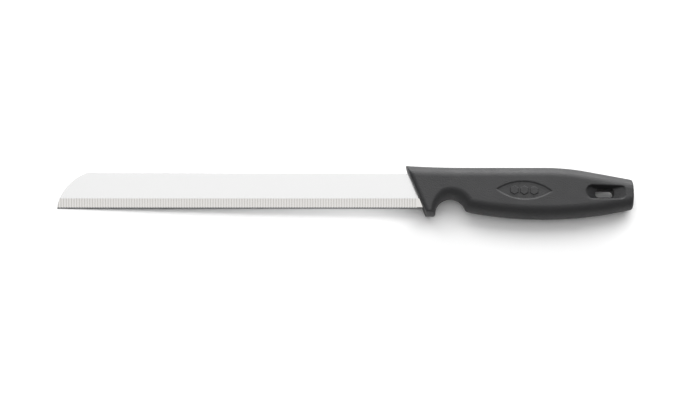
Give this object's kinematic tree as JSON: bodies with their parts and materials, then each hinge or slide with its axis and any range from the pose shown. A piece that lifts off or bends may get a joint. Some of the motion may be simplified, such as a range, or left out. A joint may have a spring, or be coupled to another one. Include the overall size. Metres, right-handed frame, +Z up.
{
  "type": "uncapping knife",
  "caption": "Straight uncapping knife: long stainless blade with a rounded tip and one fluted bevel, in a black moulded handle with a finger notch and a hang slot.",
  "frame": {"origin": "middle of the knife's bounding box in plan, on the plane that the handle's flat side rests on", "axes": "+X from the blade's tip to the butt, +Y from the cutting edge to the spine, +Z up through the thickness, towards the bevelled and fluted side of the blade"},
  "size_m": [0.3302, 0.0312, 0.018],
  "materials": {
    "blade_steel": "satin ground stainless steel",
    "handle_plastic": "finely textured black polypropylene"
  },
  "bodies": {
    "root": {"blade": "blade_steel", "handle": "handle_plastic"}
  },
  "joints": []
}
